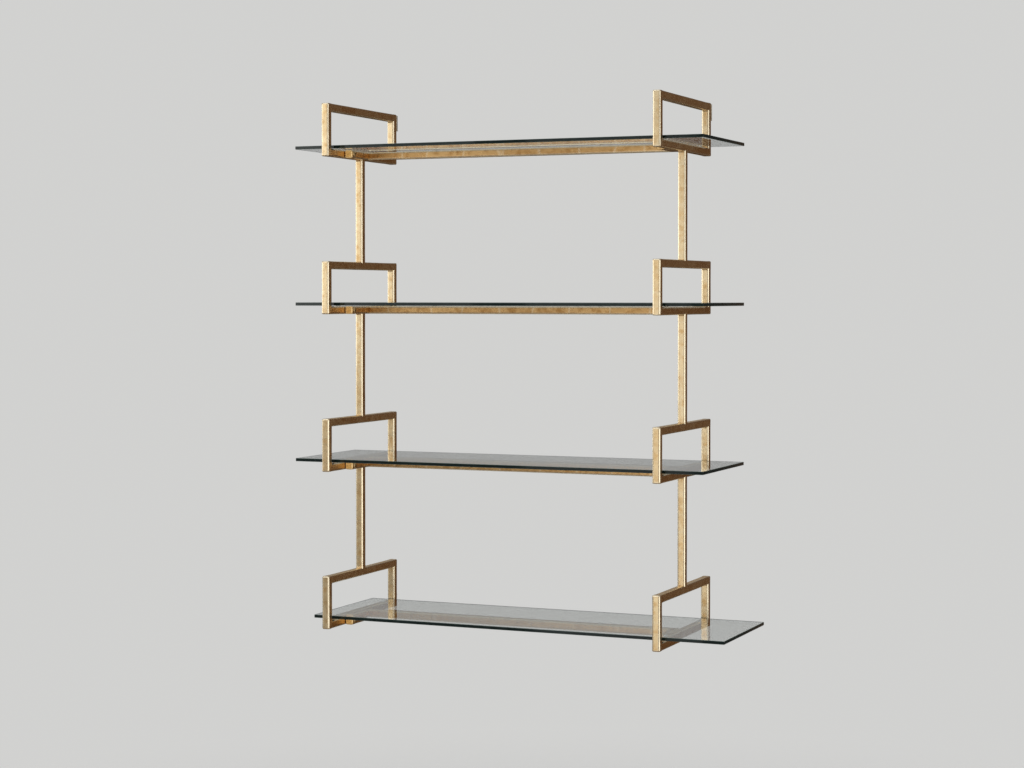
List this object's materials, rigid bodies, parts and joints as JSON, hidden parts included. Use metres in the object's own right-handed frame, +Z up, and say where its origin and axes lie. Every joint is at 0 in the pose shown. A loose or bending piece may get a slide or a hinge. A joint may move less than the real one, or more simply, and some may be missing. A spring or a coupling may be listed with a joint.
{
  "type": "wall shelf",
  "caption": "Wall shelf: rectangular loops of gold-leafed square tube, joined by posts and crossbars, carry loose clear glass panes; the frame hangs on keyhole plates.",
  "frame": {"origin": "on the wall, midway between the entry holes of the two wall hangers", "axes": "+X to the right along the wall, +Y into the wall, +Z up"},
  "size_m": [0.906, 0.313, 1.051],
  "materials": {
    "gold_leaf": "gold leaf, satin",
    "clear_glass": "clear, polished",
    "zinc": "zinc plated",
    "clear_bumper": "clear, soft"
  },
  "bodies": {
    "frame": {"left_top_loop_front_upright": "gold_leaf", "left_top_loop_rear_upright": "gold_leaf", "left_top_loop_head_bar": "gold_leaf", "left_top_loop_shelf_bar": "gold_leaf", "top_crossbar_left_arm": "gold_leaf", "right_top_loop_front_upright": "gold_leaf", "right_top_loop_rear_upright": "gold_leaf", "right_top_loop_head_bar": "gold_leaf", "right_top_loop_shelf_bar": "gold_leaf", "top_crossbar_right_arm": "gold_leaf", "top_crossbar": "gold_leaf", "left_upper_loop_front_upright": "gold_leaf", "left_upper_loop_rear_upright": "gold_leaf", "left_upper_loop_head_bar": "gold_leaf", "left_upper_loop_shelf_bar": "gold_leaf", "upper_crossbar_left_arm": "gold_leaf", "right_upper_loop_front_upright": "gold_leaf", "right_upper_loop_rear_upright": "gold_leaf", "right_upper_loop_head_bar": "gold_leaf", "right_upper_loop_shelf_bar": "gold_leaf", "upper_crossbar_right_arm": "gold_leaf", "upper_crossbar": "gold_leaf", "left_lower_loop_front_upright": "gold_leaf", "left_lower_loop_rear_upright": "gold_leaf", "left_lower_loop_head_bar": "gold_leaf", "left_lower_loop_shelf_bar": "gold_leaf", "lower_crossbar_left_arm": "gold_leaf", "right_lower_loop_front_upright": "gold_leaf", "right_lower_loop_rear_upright": "gold_leaf", "right_lower_loop_head_bar": "gold_leaf", "right_lower_loop_shelf_bar": "gold_leaf", "lower_crossbar_right_arm": "gold_leaf", "lower_crossbar": "gold_leaf", "left_bottom_loop_front_upright": "gold_leaf", "left_bottom_loop_rear_upright": "gold_leaf", "left_bottom_loop_head_bar": "gold_leaf", "left_bottom_loop_shelf_bar": "gold_leaf", "bottom_crossbar_left_arm": "gold_leaf", "right_bottom_loop_front_upright": "gold_leaf", "right_bottom_loop_rear_upright": "gold_leaf", "right_bottom_loop_head_bar": "gold_leaf", "right_bottom_loop_shelf_bar": "gold_leaf", "bottom_crossbar_right_arm": "gold_leaf", "bottom_crossbar": "gold_leaf", "left_upper_post": "gold_leaf", "right_upper_post": "gold_leaf", "left_middle_post": "gold_leaf", "right_middle_post": "gold_leaf", "left_lower_post": "gold_leaf", "right_lower_post": "gold_leaf", "tube_end_caps": "gold_leaf", "shelf_bumpers": "clear_bumper", "crossbar_bolts": "zinc", "rivet_nuts": "zinc", "wall_hangers": "zinc", "wall_bumpers": "clear_bumper"},
    "top_pane": {"top_glass_shelf": "clear_glass"},
    "upper_pane": {"upper_glass_shelf": "clear_glass"},
    "lower_pane": {"lower_glass_shelf": "clear_glass"},
    "bottom_pane": {"bottom_glass_shelf": "clear_glass"}
  },
  "joints": [
    {"name": "top_pane_slide", "type": "slide", "parent": "frame", "child": "top_pane", "axis": [1, 0, 0], "range_m": [-0.075, 0.075]},
    {"name": "upper_pane_slide", "type": "slide", "parent": "frame", "child": "upper_pane", "axis": [1, 0, 0], "range_m": [-0.075, 0.075]},
    {"name": "lower_pane_slide", "type": "slide", "parent": "frame", "child": "lower_pane", "axis": [1, 0, 0], "range_m": [-0.075, 0.075]},
    {"name": "bottom_pane_slide", "type": "slide", "parent": "frame", "child": "bottom_pane", "axis": [1, 0, 0], "range_m": [-0.117, 0.033]}
  ]
}
